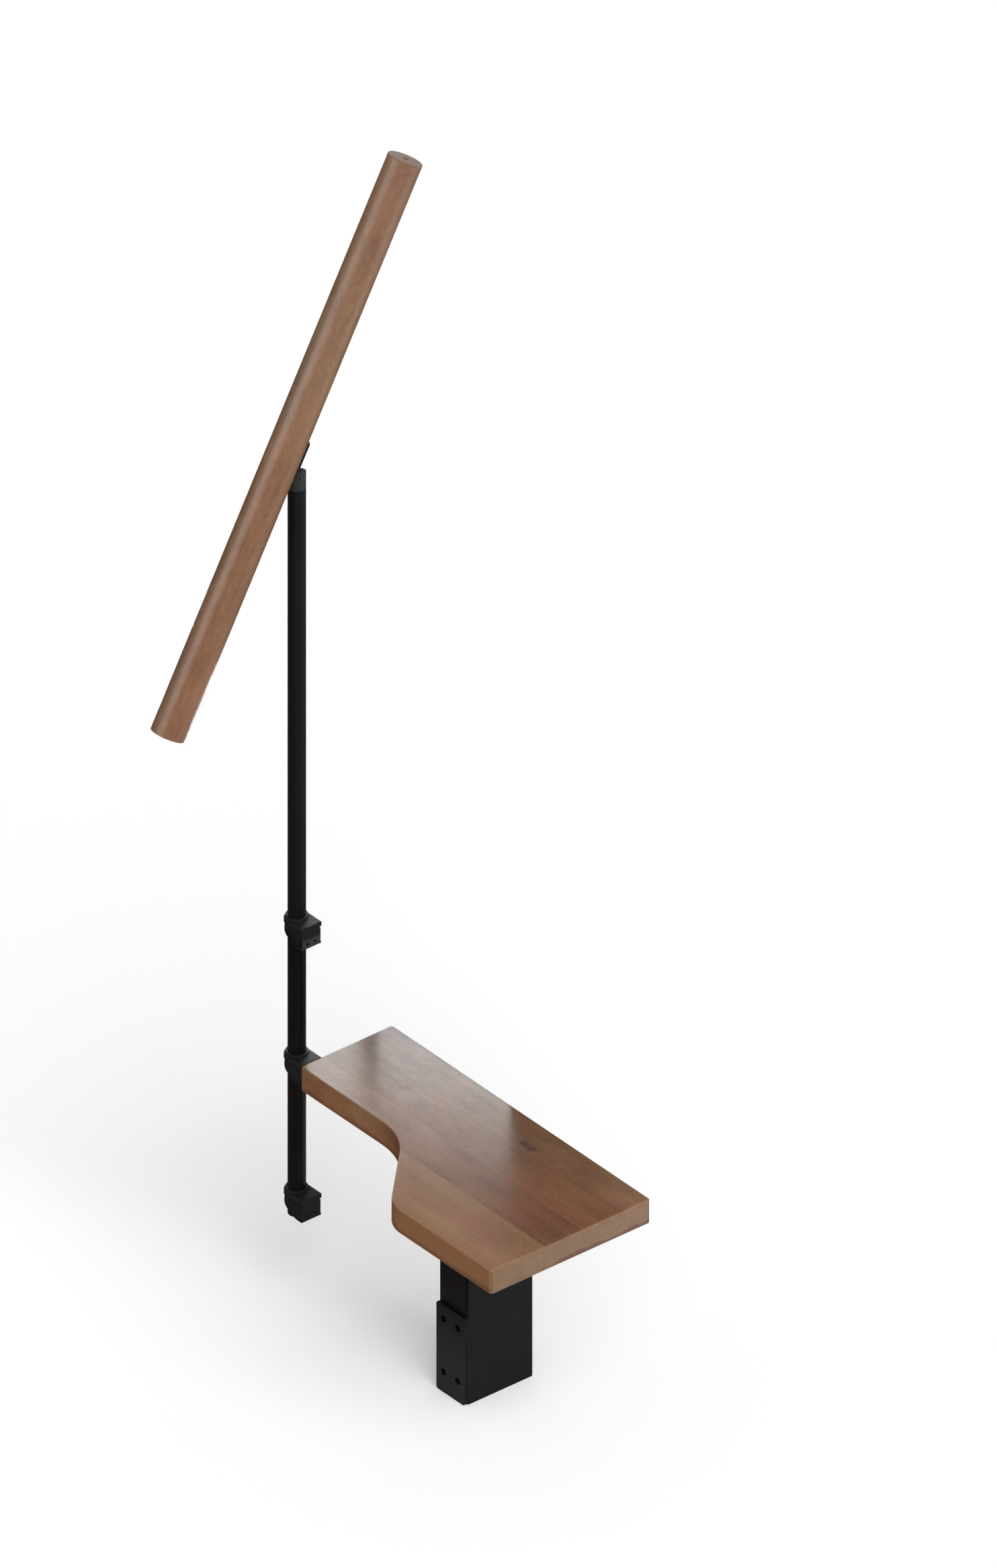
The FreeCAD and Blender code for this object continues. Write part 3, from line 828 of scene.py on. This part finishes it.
def rear_box(name, x_range):
    """Upright rear box over a range of x, which the tread's lacquer shows."""
    width = x_range[1] - x_range[0]
    centre = (sum(x_range) / 2, rear_box_y, (rear_box_foot + rear_box_top) / 2)
    aim = (centre[0], centre[1] - 1, centre[2])
    return softbox(name, centre, aim, width, rear_box_top - rear_box_foot, rear_radiance)


def shade_rear_box(data):
    """Lets the right rear box fade towards its upper right corner."""
    data.use_nodes = True
    graph = Graph(data.node_tree)
    x, _, z = graph.separate(graph.tree.nodes.new("ShaderNodeNewGeometry").outputs["Position"])
    slanted = graph.math("ADD", graph.times(z, rear_fade_slope), x)
    fade = graph.spread(slanted, rear_fade_start, rear_fade_end, 1.0, rear_fade_rest)
    graph.link(fade, graph.tree.nodes["Emission"].inputs["Strength"])


def make_panel(name, places, colour, for_shade, density=1.0):
    """Stage panels that the camera doesn't see: they only give shade, or only show in reflections."""
    mesh = bmesh.new()
    for (left, right), (front, rear), (left_height, right_height) in places:
        corners = [
            (left, front, left_height),
            (right, front, right_height),
            (right, rear, right_height),
            (left, rear, left_height),
        ]
        mesh.faces.new([mesh.verts.new(corner) for corner in corners])
    graph = Surface(name)
    clear = graph.tree.nodes.new("ShaderNodeBsdfTransparent")
    weave = graph.tree.nodes.new("ShaderNodeMixShader")
    weave.inputs[0].default_value = density
    graph.link(clear.outputs["BSDF"], weave.inputs[1])
    graph.link(graph.diffuse(colour), weave.inputs[2])
    panel = add_object(name, mesh, graph.finish(weave.outputs["Shader"]))
    panel.visible_camera = False
    panel.visible_transmission = False
    panel.visible_diffuse = for_shade
    panel.visible_shadow = for_shade
    panel.visible_glossy = not for_shade


def spare(piece, lamps):
    """Keeps the light of the named lamps off one piece."""
    spared = bpy.data.collections.new("spared_" + piece)
    spared.objects.link(nodes[piece])
    spared.collection_objects[0].light_linking.link_state = "EXCLUDE"
    for lamp in lamps:
        bpy.data.objects[lamp].light_linking.receiver_collection = spared


def make_lights():
    """Key from the right, boxes for the sheens of rail and tread, and the flag, net and cards beside them.

    The tube would mirror the low and rear boxes as a pale line under the upper clamp, so it is spared them.
    """
    make_sun("key", key_direction, key_brightness, key_angle)
    softbox("front", **front_box)
    softbox("low_right", **low_right_box)
    rear_box("rear_left", rear_left_box)
    shade_rear_box(rear_box("rear_right", rear_right_box))
    make_panel("flag", [flag_place], flag_colour, True)
    make_panel("net", [net_place], flag_colour, True, net_density)
    make_panel("cards", card_places, card_colour, False)
    spare("baluster_tube", ("low_right", "rear_left", "rear_right"))


make_camera()
materials = make_materials()
dress(materials)
make_welds(materials["black_steel"])
make_floor()
make_world()
make_lights()

bpy.context.scene.view_settings.view_transform = "Standard"
